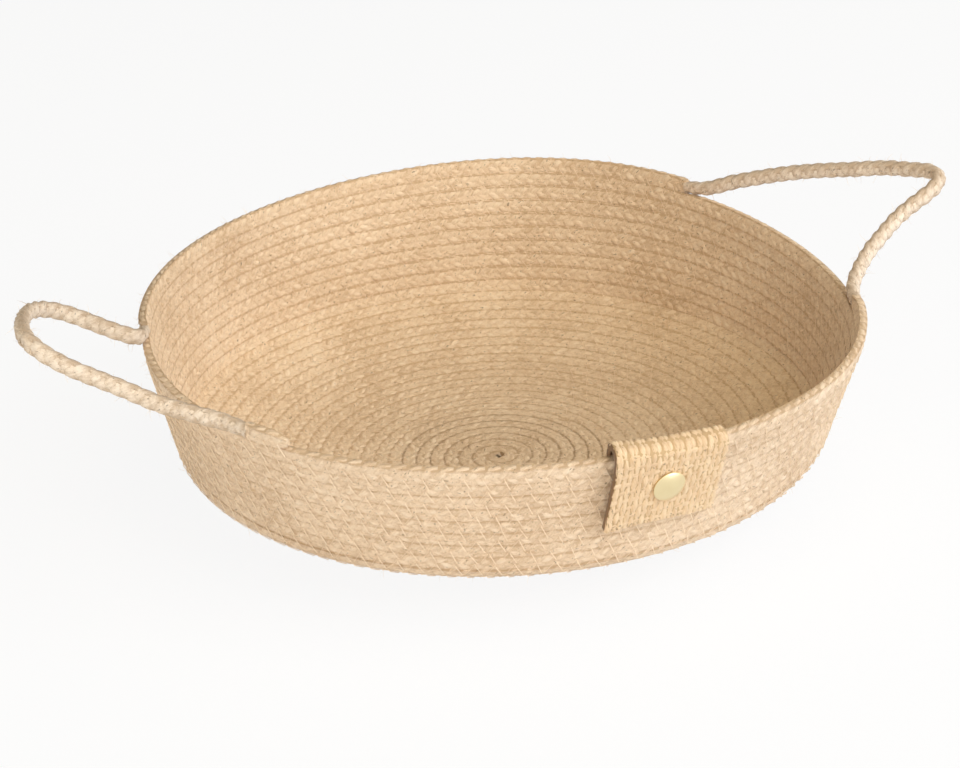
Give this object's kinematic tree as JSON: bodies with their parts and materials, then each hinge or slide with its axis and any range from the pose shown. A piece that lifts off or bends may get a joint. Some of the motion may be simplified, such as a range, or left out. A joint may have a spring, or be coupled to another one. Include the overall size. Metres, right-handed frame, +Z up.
{
  "type": "kiondo basket",
  "caption": "Round tray basket coiled from plaited jute rope, with two rope loop handles on its rim and a riveted webbing tab",
  "frame": {"origin": "On the table, under the middle of the floor where the rope starts", "axes": "+Z up, +X towards the longer handle, -X towards the shorter one, -Y towards the webbing tab"},
  "size_m": [0.3745, 0.2908, 0.103],
  "materials": {
    "jute_rope": "natural plaited jute, matt and hairy",
    "jute_webbing": "coarse woven jute, matt",
    "brass": "polished, pale"
  },
  "bodies": {
    "basket": {"base_coil": "jute_rope", "wall_coil": "jute_rope", "rim_rope": "jute_rope", "rope_tail": "jute_rope", "tab": "jute_webbing", "rivet_cap": "brass", "rivet_post": "brass"},
    "right_loop": {"right_handle": "jute_rope"},
    "left_loop": {"left_handle": "jute_rope"}
  },
  "joints": [
    {"name": "right_handle_bend", "type": "hinge", "parent": "basket", "child": "right_loop", "pos_m": [0.12288, -0.00708, 0.07124], "axis": [-0.0323, -0.9989, -0.0352], "range_deg": [-20, 65]},
    {"name": "left_handle_bend", "type": "hinge", "parent": "basket", "child": "left_loop", "pos_m": [-0.13017, -0.01236, 0.0736], "axis": [-0.0248, 0.9995, 0.0175], "range_deg": [-20, 65]}
  ]
}
